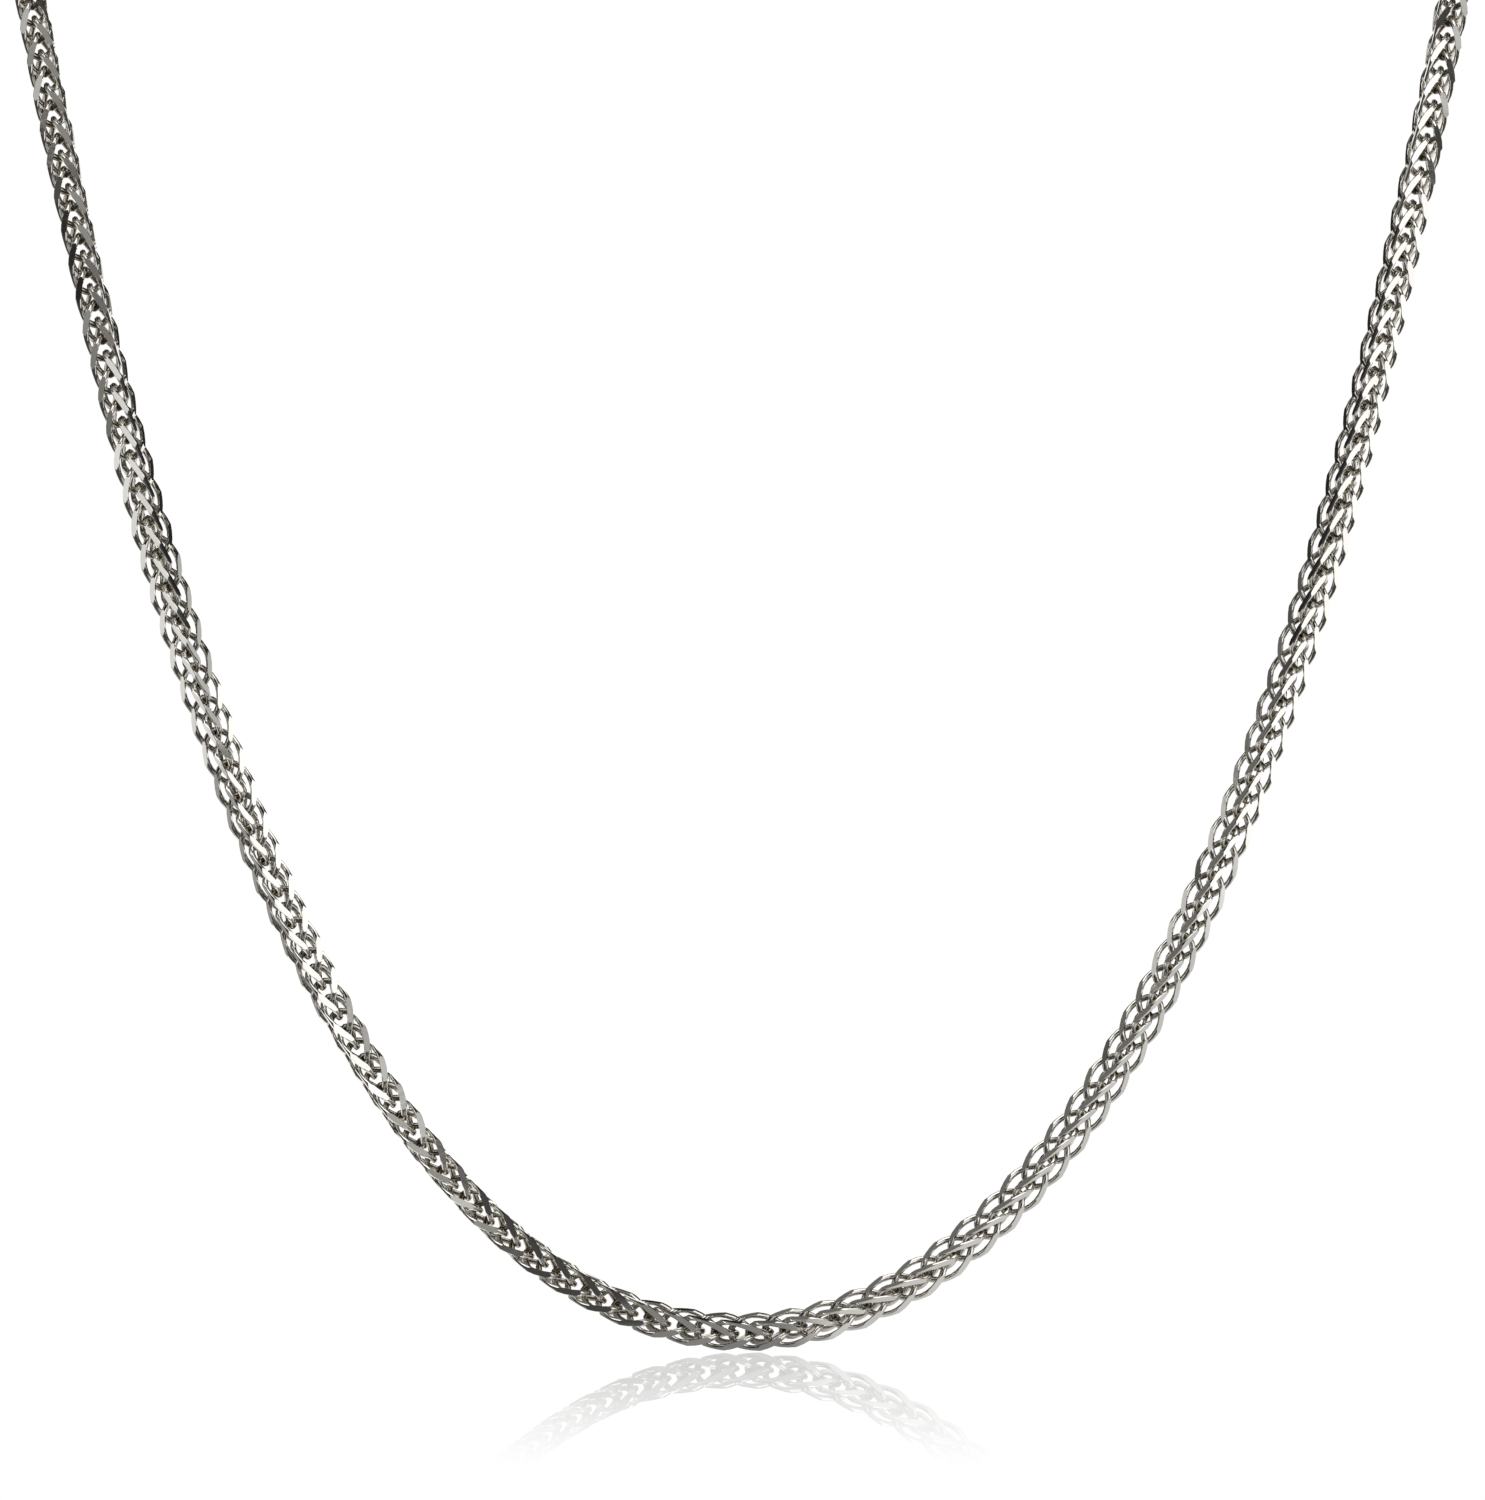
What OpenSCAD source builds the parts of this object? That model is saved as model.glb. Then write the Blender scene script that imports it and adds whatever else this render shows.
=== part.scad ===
// Wheat chain necklace, worn or hanging: a square-section chain in one closed loop with a plain clasp.
// Origin at the middle of the clasp, on the nape. The front faces -Y and hangs down towards -Z.

/* [Chain] */
// Width of the chain's square section, flat to flat
chain_w = 1.7; // [1.2:0.1:2.6]
// Bevel along the four edges of that section
edge_bevel = 0.1; // [0.05:0.05:0.3]

/* [Hanging front] */
// Radius of the hanging curve at its lowest point
sag_r = 17.45; // [15:0.05:20]
// Length of chain from the lowest point up to the top of the hanging curve
hang_len = 98; // [90:1:104]

/* [Clasp] */
// Overall length of the clasp
clasp_l = 9; // [8:0.5:12]
// Width of the clasp at its hook end
clasp_w = 4.4; // [4:0.2:6]
// Thickness of the clasp
clasp_t = 1.6; // [1:0.1:1.8]
// Metal around the hole at the hook end
hook_rim = 0.9; // [0.7:0.1:1.2]
// Radius of the eye at the narrow end
eye_r = 0.8; // [0.7:0.05:1.1]
// Metal around the eye
eye_rim = 0.6; // [0.5:0.1:0.9]

/* [Rings] */
// Wire diameter of both rings
ring_wire = 0.6; // [0.4:0.05:0.7]
// Inner diameter of the ring in the clasp's eye
clasp_ring_bore = 2.4; // [2.2:0.1:3.2]
// Inner diameter of the ring that the hook holds
end_ring_bore = 3.4; // [2.8:0.1:4.4]
// Gap left between pieces that hang in each other
play = 0.15; // [0.1:0.05:0.2]

/* [Hidden] */
$fn = 48;

// The clasp lies along X, hook on the left: hole centres, counted from the clasp's own middle
hook_r = clasp_w / 2 - hook_rim;
hook_x = -clasp_l / 2 + clasp_w / 2;
eye_x = clasp_l / 2 - eye_r - eye_rim;
// A ring through a hole stands where its bore just clears the corners of the bar between hole and end
function ring_reach(bore) = sqrt((bore / 2 - play) ^ 2 - (clasp_t / 2) ^ 2);
clasp_ring_x = eye_x + eye_r + ring_reach(clasp_ring_bore);
end_ring_x = hook_x - hook_r - ring_reach(end_ring_bore);
// The rings' outer ends, and the shift that puts the origin midway between them
right_end = clasp_ring_x + clasp_ring_bore / 2 + ring_wire;
left_end = end_ring_x - end_ring_bore / 2 - ring_wire;
middle_shift = -(right_end + left_end) / 2;
chain_end_x = (right_end - left_end) / 2 + play;

// Route of the chain: the front hangs as a catenary in the plane Y = front_y, its lowest point at Z = low_z.
// side_route leads from the top of that curve, over the right shoulder and round the neck, to the clasp.
// The left side is its mirror image. Millimetres, chosen by hand.
front_y = -79.5;
low_z = -122.1;
side_route = [
    [45, -77.5, -26.5], [48, -70.5, -15.5], [50, -59, -9], [50, -45, -5.5],
    [47, -31, -3.5], [40, -18, -2], [29.5, -8, -0.5], [18, -2, 0]
];
hang_steps = 18;
// Turn of the square section about the route: [length from the lowest point, degrees]
roll_table = [[-98, 0], [-76, 5], [-41, 60], [-29, 75], [-6, 98], [6, 118], [18, 130], [30, 136], [47, 132],
    [76, 109], [98, 90]];

function unit(v) = v / norm(v);
function flip(p) = [-p.x, p.y, p.z];
function backwards(list) = [for (i = [len(list) - 1 : -1 : 0]) list[i]];
function asinh(u) = ln(u + sqrt(u * u + 1));
function hang(s) = [sag_r * asinh(s / sag_r), front_y, low_z + sqrt(sag_r ^ 2 + s ^ 2) - sag_r];
function spline(a, b, c, d, t) =
    (2 * b + (c - a) * t + (2 * a - 5 * b + 4 * c - d) * t ^ 2 + (3 * b - a - 3 * c + d) * t ^ 3) / 2;

// One side from below the top of the hanging curve to the clasp, then points midway between its knots
side_knots = concat([hang(hang_len)], side_route, [[chain_end_x, 0, 0]]);
side_guides = concat([hang(hang_len * (hang_steps - 1) / hang_steps)], side_knots, [[0, 0, 0]]);
side = [for (i = [0 : len(side_knots) - 2]) each [
    spline(side_guides[i], side_guides[i + 1], side_guides[i + 2], side_guides[i + 3], 0.5), side_knots[i + 1]]];
front = [for (i = [-hang_steps : hang_steps]) hang(hang_len * i / hang_steps)];
route = concat(backwards([for (p = side) flip(p)]), front, side);
last = len(route) - 1;

// At each ring: the way along the route, the length from the lowest point, and the way the face looks,
// which goes from forwards on the hanging front to upwards on the shoulders and the nape
function along(i) = i == 0 || i == last ? [-1, 0, 0] : unit(route[i + 1] - route[i - 1]);
function span(i) = (i - last / 2) * hang_len / hang_steps;
function lift(i) = min(1, max(0, (abs(i - last / 2) - hang_steps) / (len(side) / 2)));
function face(i) = let (f = [0, lift(i) - 1, lift(i)]) unit(f - (f * along(i)) * along(i));
function ring(i) = let (n = face(i), b = cross(along(i), n), a = lookup(span(i), roll_table))
    [for (c = section) route[i] + c.x * (n * cos(a) + b * sin(a)) + c.y * (b * cos(a) - n * sin(a))];

half_w = chain_w / 2;
inset = half_w - edge_bevel;
section = [[half_w, -inset], [half_w, inset], [inset, half_w], [-inset, half_w],
    [-half_w, inset], [-half_w, -inset], [-inset, -half_w], [inset, -half_w]];
sides = len(section);

module chain() {
    corner_points = [for (i = [0 : last]) each ring(i)];
    start_cap = [for (j = [0 : sides - 1]) j];
    end_cap = [for (j = [sides - 1 : -1 : 0]) last * sides + j];
    walls = [for (i = [0 : last - 1], j = [0 : sides - 1])
        let (a = i * sides + j, b = i * sides + (j + 1) % sides)
        each [[a, a + sides, b + sides], [a, b + sides, b]]];
    color("silver") polyhedron(corner_points, concat(walls, [start_cap, end_cap]));
}

module clasp_outline() {
    hull() {
        translate([hook_x, 0]) circle(d = clasp_w);
        translate([eye_x, 0]) circle(eye_r + eye_rim);
    }
}

module clasp() {
    color("lightgray") translate([middle_shift, clasp_t / 2, 0]) rotate([90, 0, 0])
        linear_extrude(clasp_t) difference() {
            clasp_outline();
            translate([hook_x, 0]) circle(hook_r);
            translate([eye_x, 0]) circle(eye_r);
        }
}

module wire_ring(bore) {
    rotate_extrude() translate([(bore + ring_wire) / 2, 0]) circle(d = ring_wire, $fn = 24);
}

module clasp_ring() {
    color("gainsboro") translate([clasp_ring_x + middle_shift, 0, 0]) wire_ring(clasp_ring_bore);
}

module end_ring() {
    color("gainsboro") translate([end_ring_x + middle_shift, 0, 0]) wire_ring(end_ring_bore);
}

chain();
clasp();
clasp_ring();
end_ring();
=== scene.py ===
import math
import bmesh
import bpy
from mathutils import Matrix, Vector


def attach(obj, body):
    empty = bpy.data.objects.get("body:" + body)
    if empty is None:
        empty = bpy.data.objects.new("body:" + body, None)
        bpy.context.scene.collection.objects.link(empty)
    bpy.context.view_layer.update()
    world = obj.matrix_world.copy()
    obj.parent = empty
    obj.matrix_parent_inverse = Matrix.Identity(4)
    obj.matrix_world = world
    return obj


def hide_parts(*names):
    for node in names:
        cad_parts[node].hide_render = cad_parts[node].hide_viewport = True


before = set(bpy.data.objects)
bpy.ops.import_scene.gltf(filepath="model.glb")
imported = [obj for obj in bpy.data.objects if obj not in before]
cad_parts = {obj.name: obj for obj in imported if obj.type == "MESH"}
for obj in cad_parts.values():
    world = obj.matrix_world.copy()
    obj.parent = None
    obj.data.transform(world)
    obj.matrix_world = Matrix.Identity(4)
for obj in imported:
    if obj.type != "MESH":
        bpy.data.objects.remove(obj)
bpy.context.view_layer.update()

mm = 0.001
scene = bpy.context.scene
scene.view_settings.view_transform = "Standard"


# Node maths: a Signal is one socket, and the operators below add Math nodes behind it.
class Signal:
    def __init__(self, bench, socket):
        self.bench = bench
        self.socket = socket

    def __add__(self, other):
        return self.bench.maths("ADD", self, other)

    def __radd__(self, other):
        return self.bench.maths("ADD", other, self)

    def __sub__(self, other):
        return self.bench.maths("SUBTRACT", self, other)

    def __rsub__(self, other):
        return self.bench.maths("SUBTRACT", other, self)

    def __mul__(self, other):
        return self.bench.maths("MULTIPLY", self, other)

    def __rmul__(self, other):
        return self.bench.maths("MULTIPLY", other, self)

    def __mod__(self, other):
        return self.bench.maths("MODULO", self, other)

    def __rmod__(self, other):
        return self.bench.maths("MODULO", other, self)


class Bench:
    def __init__(self, tree):
        self.tree = tree

    # type, settings first, then sockets by name or number; gives back one output
    def make(self, kind, settings=None, sockets=None, output=0):
        node = self.tree.nodes.new(kind)
        for name, value in (settings or {}).items():
            setattr(node, name, value)
        for name, value in (sockets or {}).items():
            self.feed(node.inputs[name], value)
        return Signal(self, node.outputs[output]) if node.outputs else node

    # a list goes to a socket that takes many links
    def feed(self, socket, value):
        if isinstance(value, list):
            for part in reversed(value):
                self.feed(socket, part)
        elif isinstance(value, Signal):
            self.tree.links.new(value.socket, socket)
        else:
            socket.default_value = value

    def maths(self, operation, first, second):
        return self.make("ShaderNodeMath", {"operation": operation}, {0: first, 1: second})

    # bottom where value is at low, top where it is at high, with soft ends
    def ramp(self, value, low, high, bottom=0.0, top=1.0):
        smooth = {"interpolation_type": "SMOOTHSTEP", "clamp": True}
        sockets = {"Value": value, "From Min": low, "From Max": high, "To Min": bottom, "To Max": top}
        return self.make("ShaderNodeMapRange", smooth, sockets)

    # 6, 7 and 2 are the Mix node's sockets for colours
    def blend(self, factor, first, second):
        return self.make("ShaderNodeMix", {"data_type": "RGBA"}, {0: factor, 6: first, 7: second}, 2)

    # output 2 gives a mesh's attribute as one number
    def attribute(self, name):
        return self.make("ShaderNodeAttribute", {"attribute_name": name}, None, 2)


# a new node material, empty, with its bench
def emptyMaterial(name):
    material = bpy.data.materials.new(name)
    material.use_nodes = True
    material.node_tree.nodes.clear()
    return material, Bench(material.node_tree)


def addObject(name, data):
    made = bpy.data.objects.new(name, data)
    scene.collection.objects.link(made)
    return made


# Route of the chain, the same as the tube's in the source, in metres
route = {
    "sagRadius": 0.01745,    # of the catenary in front
    "hangLength": 0.098,     # along the catenary, from its lowest point to either end
    "frontY": -0.0795,
    "lowZ": -0.1221,
    "tubeEndX": 0.006954,
    "sideKnots": [(0.045, -0.0775, -0.0265), (0.048, -0.0705, -0.0155), (0.050, -0.059, -0.009),
                  (0.050, -0.045, -0.0055), (0.047, -0.031, -0.0035), (0.040, -0.018, -0.002),
                  (0.0295, -0.008, -0.0005), (0.018, -0.002, 0.0)],
    "hangSteps": 18,         # of the source's tube along the catenary, on either side
    "spanSteps": 2,          # of the source's tube from knot to knot
    # mm along the chain from its lowest point, degrees of roll
    "rollTable": [(-98, 0), (-76, 5), (-41, 60), (-29, 75), (-6, 98), (6, 118), (18, 130), (30, 136),
                  (47, 132), (76, 109), (98, 90)],
}


def hangPoint(s):
    r = route["sagRadius"]
    return Vector((r * math.asinh(s / r), route["frontY"], route["lowZ"] + math.hypot(r, s) - r))


def splinePoint(a, b, c, d, t):
    bend = (2 * a - 5 * b + 4 * c - d) * t ** 2
    return (2 * b + (c - a) * t + bend + (3 * b - a - 3 * c + d) * t ** 3) / 2


def tableValue(table, x):
    if x <= table[0][0]:
        return table[0][1]
    for (x0, y0), (x1, y1) in zip(table, table[1:]):
        if x <= x1:
            return y0 + (y1 - y0) * (x - x0) / (x1 - x0)
    return table[-1][1]


# each sample: its place, the mm along the chain from the lowest point as the source counts them,
# and how far the chain's face is lifted, from forwards (0) to upwards (1)
def routeSamples(frontCount=800, perSpan=40):
    top = route["hangLength"]
    step = top / route["hangSteps"]
    knots = [hangPoint(top)] + [Vector(p) for p in route["sideKnots"]] + [Vector((route["tubeEndX"], 0, 0))]
    guides = [hangPoint(top - step)] + knots + [Vector((0, 0, 0))]
    spans = len(knots) - 1
    right = []
    for i in range(spans):
        for k in range(1, perSpan + 1):
            t = k / perSpan
            steps = route["spanSteps"] * (i + t)
            place = splinePoint(*guides[i:i + 4], t)
            right.append((place, (top + steps * step) / mm, min(1, steps / spans)))
    left = [(Vector((-p.x, p.y, p.z)), -s, lift) for p, s, lift in reversed(right)]
    front = []
    for k in range(frontCount + 1):
        s = top * (2 * k / frontCount - 1)
        front.append((hangPoint(s), s / mm, 0))
    return left + front + right


# Metal of all the pieces
metalSettings = {
    "cutColour": (0.90, 0.895, 0.88, 1),
    "wireColour": (0.84, 0.827, 0.80, 1),
    # painted shade in the links' recesses, warmed like tarnish; on the clasp and rings only their random
    # tarnish blotches take it
    "shadeAndTarnishColour": (0.36, 0.32, 0.265, 1),
    "shadeAndTarnishStart": 0.83,     # share of the link's radius where the wire begins to darken
    "shadeAndTarnishEnd": 0.25,       # and where it is darkest
    "toneSpread": 0.10,      # from link to link
    "roughness": 0.05,
    "grainRoughness": 0.05,  # how much the fine grain changes it
    "grainScale": 5200.0,
    "grainDetail": 2.0,
    "blotchScale": 900.0,
    "blotchDetail": 3.0,
    "bumpStrength": 0.15,
    "bumpDepth": 0.00002,
    "claspCut": 0.6,         # share of the cut colour in the clasp's and rings' polish
    "claspRecess": 0.15,     # share of the shade-and-tarnish colour in their darkest blotches
    "claspBlotches": (0.35, 0.75),
    "claspToneSpread": 0.08,
}


def metalMaterial(name, settings, links):
    material, bench = emptyMaterial(name)
    place = bench.make("ShaderNodeTexCoord", None, None, "Object")
    blotch = bench.make("ShaderNodeTexNoise", None, {"Vector": place, "Scale": settings["blotchScale"],
                                                     "Detail": settings["blotchDetail"]})
    grain = bench.make("ShaderNodeTexNoise", None, {"Vector": place, "Scale": settings["grainScale"],
                                                    "Detail": settings["grainDetail"]})
    if links:
        cut = bench.attribute("cutFlat")
        # painted shade with a warm tarnish: the wire darkens towards the link's axis, deep inside the chain
        shadeAndTarnish = bench.ramp(bench.attribute("outwardness"), settings["shadeAndTarnishStart"], settings["shadeAndTarnishEnd"])
        shade = (bench.attribute("linkTone") - 0.5) * settings["toneSpread"] + 1
    else:
        cut = settings["claspCut"]
        shadeAndTarnish = bench.ramp(blotch, *settings["claspBlotches"]) * settings["claspRecess"]
        shade = (blotch - 0.5) * settings["claspToneSpread"] + 1
    polished = bench.blend(cut, settings["wireColour"], settings["cutColour"])
    darkened = bench.blend(shadeAndTarnish, polished, settings["shadeAndTarnishColour"])
    colour = bench.make("ShaderNodeVectorMath", {"operation": "SCALE"}, {0: darkened, "Scale": shade})
    roughness = (grain - 0.5) * settings["grainRoughness"] + settings["roughness"]
    bump = bench.make("ShaderNodeBump", None, {"Strength": settings["bumpStrength"],
                                               "Distance": settings["bumpDepth"], "Height": blotch})
    metal = bench.make("ShaderNodeBsdfPrincipled", None, {"Base Color": colour, "Metallic": 1.0,
                                                          "Roughness": roughness, "Normal": bump})
    bench.make("ShaderNodeOutputMaterial", None, {"Surface": metal})
    return material


linkMetal = metalMaterial("linkMetal", metalSettings, True)
claspMetal = metalMaterial("claspMetal", metalSettings, False)
print("metal: done")

# Chain: two mirrored links, set alternately along the route
chainSettings = {
    "step": 0.001,           # from one link to the next
    "linkLength": 0.00338,   # this and the next three at the wire's middle
    "linkRadius": 0.00103,   # half the width of the open link
    "barReach": 0.00128,     # how far its long sides stay nearly straight
    "endReach": 0.00028,     # how blunt its ends are
    "wireRadius": 0.000193,  # to the corners of its seven sides, as thick in all as a round wire of 0.18 mm
    "wireSides": 7,
    "rings": 24,             # round the link
    "bendWeight": 0.5,       # mm of wire that one radian of bend counts as, where the rings are spread
    "turn": 36,              # degrees that each side winds about the chain's axis on the way to its end
    "turnPower": 7,          # the rest of the 45 degrees comes late, by this power
    "flatWidth": 0.0017,     # across the cut flats
    "flatMiddle": 0.00045,   # from the face's middle to a flat's
    "hollow": 3.3,           # degrees that the two rows of flats on one face lean towards each other
    "firstLinkX": 0.00768,   # middle of the last links, just past the tube's ends, round the rings' wire
    "looseTilt": 1.5,        # degrees, at most
    "seed": 11,
}


# one link's wire: each of its two sides starts and ends on the chain's axis
def linkCentreLine(settings, mirror, fine=300):
    half, radius = settings["linkLength"] / 2, settings["linkRadius"]
    bar, end, turn = settings["barReach"], settings["endReach"], settings["turn"]
    quarter = []
    for i in range(fine // 4 + 1):
        t = 4 * i / fine
        u = 1 - t
        quarter.append((3 * u * u * t * bar + 3 * u * t * t * half + t ** 3 * half,
                        (u ** 3 + 3 * u * u * t) * radius + 3 * u * t * t * end))
    sideLine = [(-z, r) for z, r in reversed(quarter)] + quarter[1:]
    points = []
    for side in (1, -1):
        for z, r in sideLine[:-1]:
            share = side * z / half
            late = math.copysign(abs(share) ** settings["turnPower"], share)
            angle = math.radians(45 + turn * share + (45 - turn) * late)
            points.append(side * Vector((mirror * r * math.sin(angle), r * math.cos(angle), z)))
    return points


# rings stand closer where the wire bends
def spreadRings(points, count, bendWeight):
    total = len(points)
    steps = [(points[(i + 1) % total] - points[i]) for i in range(total)]
    weights = []
    for i in range(total):
        turn = steps[i].angle(steps[i - 1]) if steps[i - 1].length > 0 else 0
        weights.append(steps[i].length + bendWeight * mm * turn)
    gap = sum(weights) / count
    chosen, reach, want = [], 0.0, 0.0
    for i in range(total):
        while want <= reach + weights[i] and len(chosen) < count:
            f = (want - reach) / weights[i]
            chosen.append(points[i].lerp(points[(i + 1) % total], f))
            want += gap
        reach += weights[i]
    return chosen


# the closed wire; what it twists by is shared out over its rings, so that the last meets the first
def sweepWire(shape, settings, mirror):
    centres = spreadRings(linkCentreLine(settings, mirror), settings["rings"], settings["bendWeight"])
    count, sides = len(centres), settings["wireSides"]
    ways = [(centres[(i + 1) % count] - centres[i - 1]).normalized() for i in range(count)]
    across = ways[0].orthogonal().normalized()
    acrosses = []
    for way in ways + ways[:1]:
        across = (across - way * across.dot(way)).normalized()
        acrosses.append(across)
    closing = acrosses.pop()
    twist = math.atan2(closing.dot(ways[0].cross(acrosses[0])), closing.dot(acrosses[0]))
    rings = []
    for i, (centre, way, across) in enumerate(zip(centres, ways, acrosses)):
        other = way.cross(across)
        ring = []
        for k in range(sides):
            angle = 2 * math.pi * (k + 0.5) / sides - twist * i / count
            spoke = across * math.cos(angle) + other * math.sin(angle)
            ring.append(shape.verts.new(centre + settings["wireRadius"] * spoke))
        rings.append(ring)
    for i in range(count):
        here, there = rings[i], rings[(i + 1) % count]
        for k in range(sides):
            corners = (here[k], there[k], there[(k + 1) % sides], here[(k + 1) % sides])
            shape.faces.new(corners).smooth = True
    bmesh.ops.recalc_face_normals(shape, faces=shape.faces)


# the four bright cuts, two on each side of the link
def cutFlats(shape, settings, mirror):
    half, middle = settings["flatWidth"] / 2, settings["flatMiddle"]
    sine, cosine = math.sin(math.radians(settings["hollow"])), math.cos(math.radians(settings["hollow"]))
    flats = ((Vector((mirror * middle, half, 0)), Vector((-mirror * sine, cosine, 0))),
             (Vector((mirror * half, middle, 0)), Vector((mirror * cosine, -sine, 0))))
    cutLayer = shape.faces.layers.float.new("cutFlat")
    for side in (1, -1):
        for place, way in flats:
            parts = shape.verts[:] + shape.edges[:] + shape.faces[:]
            cut = bmesh.ops.bisect_plane(shape, geom=parts, dist=1e-9, plane_co=side * place,
                                         plane_no=side * way, clear_outer=True)
            rims = [e for e in cut["geom_cut"] if isinstance(e, bmesh.types.BMEdge)]
            for face in bmesh.ops.holes_fill(shape, edges=rims, sides=0)["faces"]:
                face.smooth = False
                face[cutLayer] = 1.0
                for edge in face.edges:
                    edge.smooth = False


def makeLink(name, settings, mirror):
    shape = bmesh.new()
    sweepWire(shape, settings, mirror)
    cutFlats(shape, settings, mirror)
    outwardLayer = shape.verts.layers.float.new("outwardness")
    for vert in shape.verts:
        vert[outwardLayer] = min(1.0, math.hypot(vert.co.x, vert.co.y) / settings["linkRadius"])
    mesh = bpy.data.meshes.new(name)
    shape.to_mesh(mesh)
    shape.free()
    return addObject(name, mesh)


# the route from the first link to the last, with the way that each link's back faces
def makeRouteMesh(settings):
    samples = routeSamples()
    reach = settings["firstLinkX"]
    while samples[0][0].x > -reach:
        samples.pop(0)
    while samples[-1][0].x < reach:
        samples.pop()
    first, last = Vector((-reach, 0, 0)), Vector((reach, 0, 0))
    samples = [(first, *samples[0][1:])] + samples + [(last, *samples[-1][1:])]
    places = [place for place, s, lift in samples]
    mesh = bpy.data.meshes.new("chainRoute")
    mesh.from_pydata(places, [(i, i + 1) for i in range(len(places) - 1)], [])
    backWays = mesh.attributes.new("backWay", "FLOAT_VECTOR", "POINT")
    for i, (place, s, lift) in enumerate(samples):
        before, after = places[max(0, i - 1)], places[min(len(places) - 1, i + 1)]
        along = (after - before).normalized()
        face = Vector((0, lift - 1, lift))
        face = (face - along * face.dot(along)).normalized()
        side = along.cross(face)
        roll = math.radians(tableValue(route["rollTable"], s) - 90)
        backWays.data[i].vector = -(face * math.cos(roll) + side * math.sin(roll))
    length = sum((b - a).length for a, b in zip(places, places[1:]))
    return addObject("chainRoute", mesh), length


def linkRowTree():
    tree = bpy.data.node_groups.new("linkRow", "GeometryNodeTree")
    kinds = {"Route": "Geometry", "Even link": "Object", "Odd link": "Object", "Links": "Int",
             "Loose tilt": "Float", "Seed": "Int", "Metal": "Material"}
    sockets = {}
    for name, kind in kinds.items():
        socket = tree.interface.new_socket(name, in_out="INPUT", socket_type="NodeSocket" + kind)
        sockets[name] = socket.identifier
    tree.interface.new_socket("Chain", in_out="OUTPUT", socket_type="NodeSocketGeometry")
    bench = Bench(tree)
    asked = {name: bench.make("NodeGroupInput", None, None, name) for name in sockets}
    curve = bench.make("GeometryNodeMeshToCurve", None, {"Mesh": asked["Route"]})
    stations = bench.make("GeometryNodeResampleCurve", None, {"Curve": curve, "Count": asked["Links"]})
    tangent = bench.make("GeometryNodeInputTangent")
    downRow = bench.make("ShaderNodeVectorMath", {"operation": "SCALE"}, {0: tangent, "Scale": -1.0})
    backWay = bench.make("GeometryNodeInputNamedAttribute", {"data_type": "FLOAT_VECTOR"},
                         {"Name": "backWay"})
    turned = bench.make("FunctionNodeAxesToRotation", {"primary_axis": "Z", "secondary_axis": "Y"},
                        {"Primary Axis": downRow, "Secondary Axis": backWay})
    number = bench.make("GeometryNodeInputIndex")
    low = bench.make("ShaderNodeCombineXYZ", None, dict.fromkeys("XYZ", asked["Loose tilt"] * -1.0))
    high = bench.make("ShaderNodeCombineXYZ", None, dict.fromkeys("XYZ", asked["Loose tilt"]))
    tilt = bench.make("FunctionNodeRandomValue", {"data_type": "FLOAT_VECTOR"},
                      {0: low, 1: high, "ID": number, "Seed": asked["Seed"]})
    tiltTurn = bench.make("FunctionNodeEulerToRotation", None, {0: tilt})
    placed = bench.make("FunctionNodeRotateRotation", {"rotation_space": "LOCAL"}, {0: turned, 1: tiltTurn})
    odd = number % 2
    rows = []
    for name, chosen in (("Even link", 1 - odd), ("Odd link", odd)):
        shape = bench.make("GeometryNodeObjectInfo", None,
                           {"Object": asked[name], "As Instance": True}, "Geometry")
        given = {"Points": stations, "Selection": chosen, "Instance": shape, "Rotation": placed}
        rows.append(bench.make("GeometryNodeInstanceOnPoints", None, given))
    joined = bench.make("GeometryNodeJoinGeometry", None, {0: rows})
    tone = bench.make("FunctionNodeRandomValue", {"data_type": "FLOAT"},
                      {"ID": number, "Seed": asked["Seed"]}, 1)   # output 1 is its single number
    named = bench.make("GeometryNodeStoreNamedAttribute", {"data_type": "FLOAT", "domain": "INSTANCE"},
                       {"Geometry": joined, "Name": "linkTone", "Value": tone})
    real = bench.make("GeometryNodeRealizeInstances", None, {0: named})
    done = bench.make("GeometryNodeSetMaterial", None, {"Geometry": real, "Material": asked["Metal"]})
    bench.make("NodeGroupOutput", None, {0: done})
    return tree, sockets


def makeChain(settings, metal):
    evenLink = makeLink("evenLink", settings, 1)
    oddLink = makeLink("oddLink", settings, -1)
    chainRoute, length = makeRouteMesh(settings)
    links = round(length / settings["step"]) + 1
    tree, sockets = linkRowTree()
    row = chainRoute.modifiers.new("linkRow", "NODES")
    row.node_group = tree
    values = {"Even link": evenLink, "Odd link": oddLink, "Links": links,
              "Loose tilt": math.radians(settings["looseTilt"]), "Seed": settings["seed"], "Metal": metal}
    for name, value in values.items():
        row[sockets[name]] = value
    ready = chainRoute.evaluated_get(bpy.context.evaluated_depsgraph_get())
    mesh = bpy.data.meshes.new_from_object(ready)
    mesh.name = "wheatLinks"
    for spare in (chainRoute, evenLink, oddLink):
        bpy.data.objects.remove(spare)
    triangles = sum(len(p.vertices) - 2 for p in mesh.polygons)
    step = round(length / (links - 1) / mm, 4)
    print("chain:", links, "links,", triangles, "triangles, step", step, "mm")
    return addObject("wheatLinks", mesh)


chain = makeChain(chainSettings, linkMetal)
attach(chain, "root")
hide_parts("chain")

# Clasp with rounded edges, from a merged copy of the source's plate
claspSettings = {
    "edge": 0.00028,
    "segments": 4,
    "sharpAngle": 60,   # degrees, past which an edge is rounded
}


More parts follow.
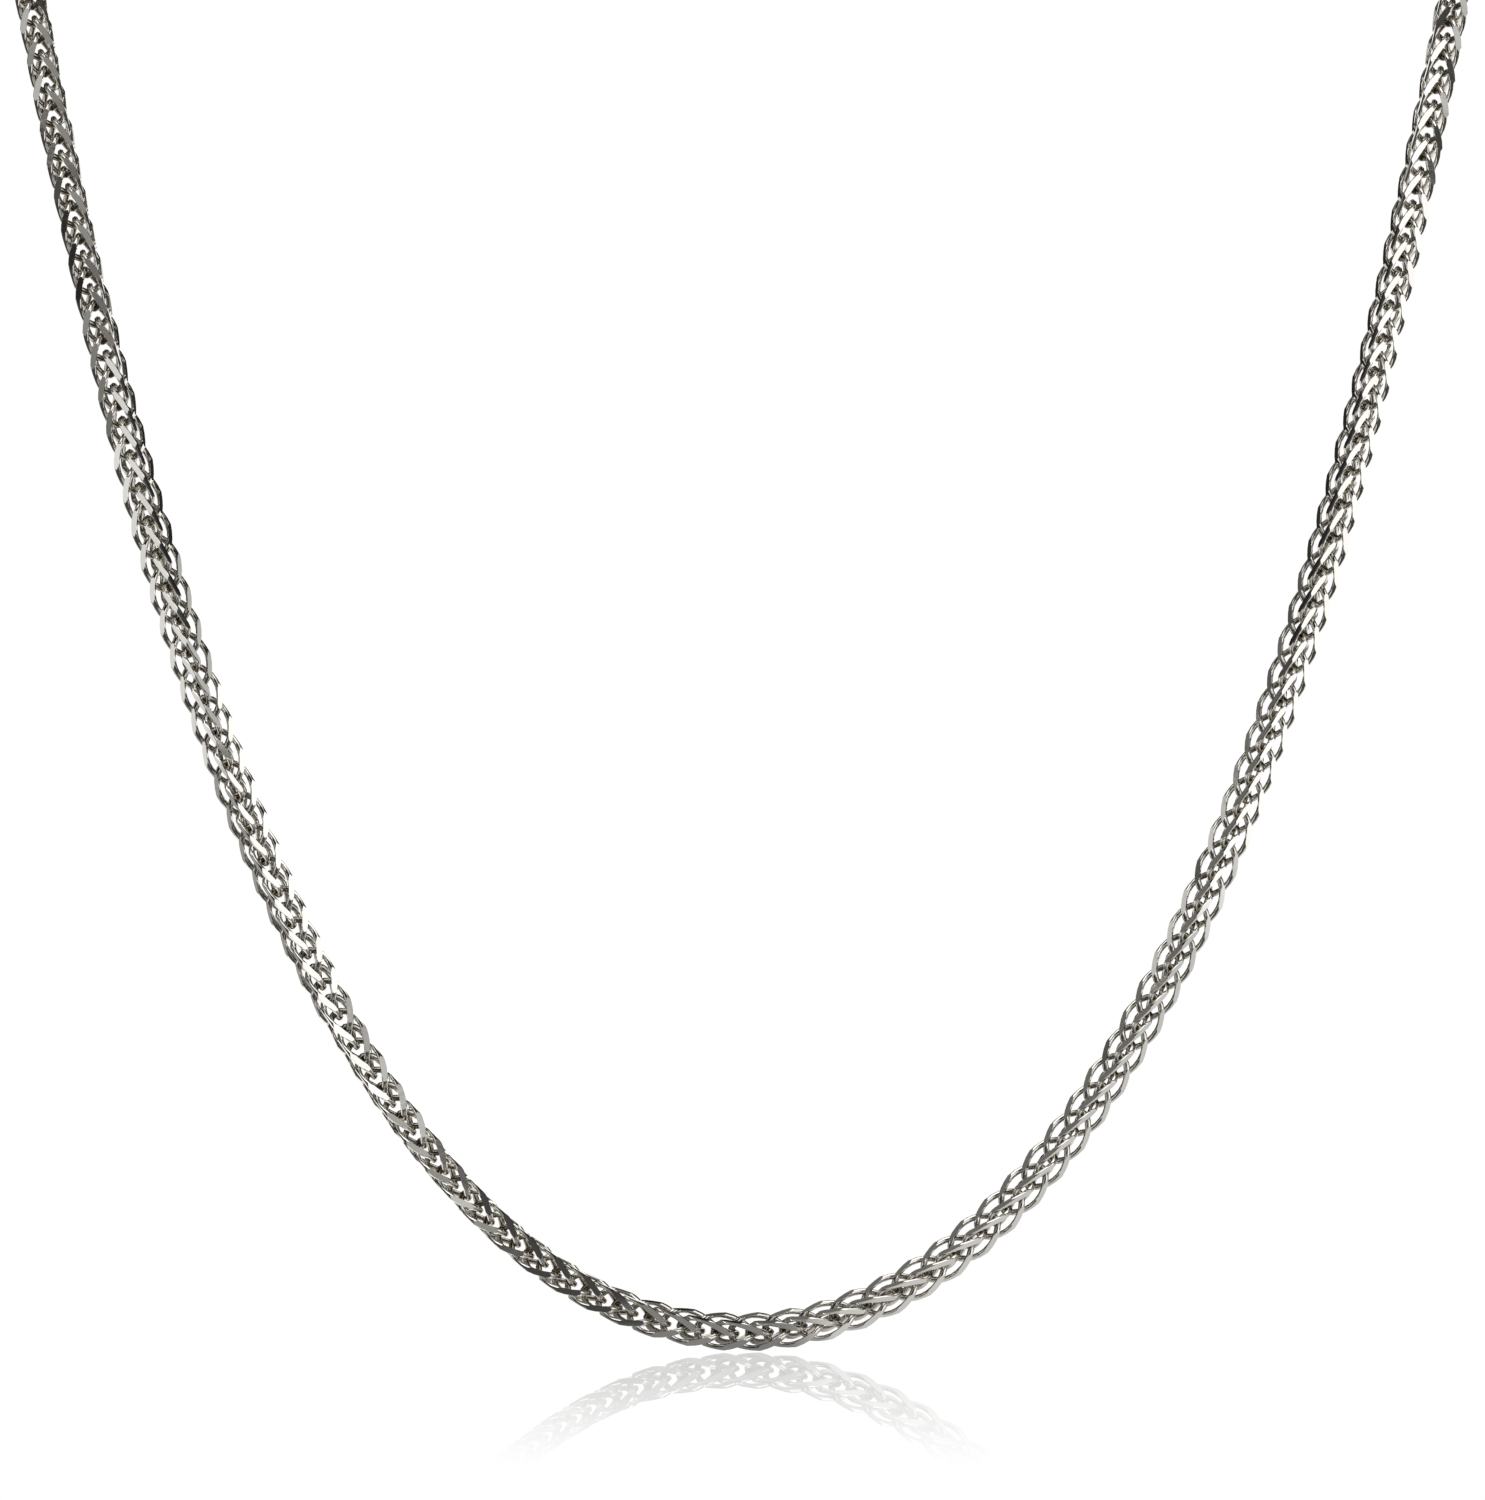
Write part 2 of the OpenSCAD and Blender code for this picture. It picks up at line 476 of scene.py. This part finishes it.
def makeClasp(settings):
    shape = bmesh.new()
    shape.from_mesh(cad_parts["clasp"].data)
    bmesh.ops.remove_doubles(shape, verts=shape.verts, dist=1e-7)
    bmesh.ops.recalc_face_normals(shape, faces=shape.faces)
    limit = math.radians(settings["sharpAngle"])
    sharp = [e for e in shape.edges if e.is_manifold and e.calc_face_angle() > limit]
    bmesh.ops.bevel(shape, geom=sharp, offset=settings["edge"], segments=settings["segments"], profile=0.5,
                    affect="EDGES", clamp_overlap=True)
    for face in shape.faces:
        face.smooth = True
    mesh = bpy.data.meshes.new("claspPlate")
    shape.to_mesh(mesh)
    shape.free()
    mesh.materials.clear()
    mesh.materials.append(claspMetal)
    return addObject("claspPlate", mesh)


clasp = makeClasp(claspSettings)
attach(clasp, "root")
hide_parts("clasp")
for node in ("clasp_ring", "end_ring"):
    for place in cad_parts[node].material_slots:
        place.material = claspMetal
print("clasp and rings: done")

# Floor: white to the camera, with a mirror image of the chain that fades in front of it and behind it
floorSettings = {
    "level": -0.12322,              # just clear of the chain's lowest point
    "reach": 3.0,                   # half its width
    "white": 1.01,                  # brightness of the floor and of what is beyond it, just past white
    "mirror": 0.4,                  # share of the mirror image right below the chain
    "contactY": -0.0795,            # under the hanging front
    "frontFade": 0.092,             # how far the mirror image reaches from there
    "backFade": 0.05,
    "glow": (1, 0.985, 0.945, 1),   # what the metal sees: dim in front, bright behind and at the right
    "glowStrength": 1.15,
    "frontShade": 0.05,
    # each patch: its shade, then its edges as (share of x, share of y, where it starts, where it is whole);
    # later patches cover earlier ones
    "patches": [
        [0.14, (0, 1, -0.25, -0.5)],                                  # far in front
        [0.2, (0, 1, -0.09, -0.085), (1, 0, -0.04, -0.03)],           # near the chain
        [0.28, (0, 1, -0.1, -0.09), (1, 0, -0.04, -0.05)],            # near it at the left
        [0.66, (1, 0, -0.122, -0.130), (-1.777, 1, 0.115, 0.135)],    # far at the left
        [0.95, (0, 1, -0.079, -0.076), (1, 0, -0.062, -0.056)],       # behind
        [0.52, (0, 1, -0.095, -0.088), (1, 0, 0.0025, 0.006)],        # at the right
        [1.0, (1, 0.445, 0.04, 0.065)],                               # far at the right
    ],
}


def makeFloor(settings):
    z, reach = settings["level"], settings["reach"]
    mesh = bpy.data.meshes.new("floor")
    corners = [(-reach, -reach, z), (reach, -reach, z), (reach, reach, z), (-reach, reach, z)]
    mesh.from_pydata(corners, [], [(0, 1, 2, 3)])
    floor = addObject("floor", mesh)
    material, bench = emptyMaterial("floorGloss")
    place = bench.make("ShaderNodeTexCoord", None, None, "Object")
    across = bench.make("ShaderNodeSeparateXYZ", None, {0: place}, "X")
    away = bench.make("ShaderNodeSeparateXYZ", None, {0: place}, "Y")
    contact = settings["contactY"]
    mirror = bench.ramp(away, contact - settings["frontFade"], contact, 0.0, settings["mirror"])
    mirror = mirror * bench.ramp(away, contact + settings["backFade"], contact)
    shade = settings["frontShade"]
    for patch, *edges in settings["patches"]:
        inside = 1
        for shareX, shareY, start, whole in edges:
            inside = inside * bench.ramp(across * shareX + away * shareY, start, whole)
        shade = shade + (patch - shade) * inside
    dark = bench.make("ShaderNodeEmission", None, {"Color": (1, 1, 1, 1), "Strength": 0.0})
    glow = bench.make("ShaderNodeEmission", None, {"Color": settings["glow"],
                                                   "Strength": settings["glowStrength"]})
    shaded = bench.make("ShaderNodeMixShader", None, {0: shade, 1: dark, 2: glow})
    white = bench.make("ShaderNodeEmission", None, {"Color": (1, 1, 1, 1), "Strength": settings["white"]})
    gloss = bench.make("ShaderNodeBsdfGlossy", None, {"Color": (1, 1, 1, 1), "Roughness": 0.0})
    shown = bench.make("ShaderNodeMixShader", None, {0: mirror, 1: white, 2: gloss})
    seen = bench.make("ShaderNodeLightPath", None, None, "Is Camera Ray")
    mixed = bench.make("ShaderNodeMixShader", None, {0: seen, 1: shaded, 2: shown})
    bench.make("ShaderNodeOutputMaterial", None, {"Surface": mixed})
    mesh.materials.append(material)


makeFloor(floorSettings)
print("floor: done")

# Light: dim studio with soft cards, each [azimuth, elevation, inner angle, outer angle, brightness];
# azimuth 0 is towards the camera and 90 to the right; later cards cover earlier ones
lightSettings = {
    "room": 0.02,
    "cards": [
        [180, 0, 15, 24, 1.12],
        [0, 80, 20, 36, 1.6],
        [-70, -25, 28, 46, 0.7],
        [-150, 52, 14, 30, 0.15],
        [-100, 42, 20, 28, 0.15],
        [-81, 24.5, 2.6, 4, 0.6],
        [-17, 4, 4, 6, 0.27],
        [-25, -1, 6, 8, 0.2],
        [12, 8, 10.5, 13, 0.29],
        [27, -29, 39.3, 40.9, 0.58],
        [22.5, 14, 5, 6.5, 0.42],
        [99, 19, 13, 15, 0.5],
        [52, -6, 28.5, 31, 1.15],
        [54.5, 18, 28.2, 29.6, 1.15],
        [2, -9, 11, 13, 0.08],
        [15, -6, 10, 11.5, 0.05],
        [-3, 8, 3.5, 5.5, 0.5],
    ],
    "dimTint": (1.0, 0.97, 0.88, 1),
    "brightTint": (1.0, 0.995, 0.955, 1),
    "tintLevels": (0.05, 0.7),   # brightness at which each of the two is whole
}


def makeLight(settings):
    world = bpy.data.worlds.new("studio")
    scene.world = world
    world.use_nodes = True
    world.node_tree.nodes.clear()
    bench = Bench(world.node_tree)
    way = bench.make("ShaderNodeTexCoord", None, None, "Generated")
    light = settings["room"]
    for azimuth, elevation, inner, outer, brightness in settings["cards"]:
        a, e = math.radians(azimuth), math.radians(elevation)
        towards = (math.sin(a) * math.cos(e), -math.cos(a) * math.cos(e), math.sin(e))
        near = bench.make("ShaderNodeVectorMath", {"operation": "DOT_PRODUCT"},
                          {0: way, 1: towards}, "Value")
        inside = bench.ramp(near, math.cos(math.radians(outer)), math.cos(math.radians(inner)))
        light = light + (brightness - light) * inside
    tintShare = bench.ramp(light, *settings["tintLevels"])
    tint = bench.blend(tintShare, settings["dimTint"], settings["brightTint"])
    glow = bench.make("ShaderNodeVectorMath", {"operation": "SCALE"}, {0: tint, "Scale": light})
    studio = bench.make("ShaderNodeBackground", None, {"Color": glow, "Strength": 1.0})
    white = floorSettings["white"]
    plain = bench.make("ShaderNodeBackground", None, {"Color": (1, 1, 1, 1), "Strength": white})
    direct = bench.make("ShaderNodeLightPath", None, None, "Is Camera Ray")
    # only the floor's mirror is sharp enough for this
    mirrored = bench.make("ShaderNodeLightPath", None, None, "Is Singular Ray")
    seen = bench.maths("MAXIMUM", direct, mirrored)
    mixed = bench.make("ShaderNodeMixShader", None, {0: seen, 1: studio, 2: plain})
    bench.make("ShaderNodeOutputWorld", None, {"Surface": mixed})


makeLight(lightSettings)
print("light:", len(lightSettings["cards"]), "cards")

# Camera, level and square to the hanging front
cameraSettings = {
    "x": 0.00002,
    "z": -0.08807,
    "distance": 0.5,
    "frameWidth": 0.08684,   # what the picture spans at the front's distance
    "sensorWidth": 36,
    "clipStart": 0.01,
}


def makeCamera(settings):
    data = bpy.data.cameras.new("camera")
    data.sensor_fit = "HORIZONTAL"
    data.sensor_width = settings["sensorWidth"]
    data.lens = settings["sensorWidth"] * settings["distance"] / settings["frameWidth"]
    data.clip_start = settings["clipStart"]
    camera = addObject("camera", data)
    camera.location = (settings["x"], route["frontY"] - settings["distance"], settings["z"])
    camera.rotation_euler = (math.pi / 2, 0, 0)
    scene.camera = camera


makeCamera(cameraSettings)
print("camera: done")

print("scene ready")
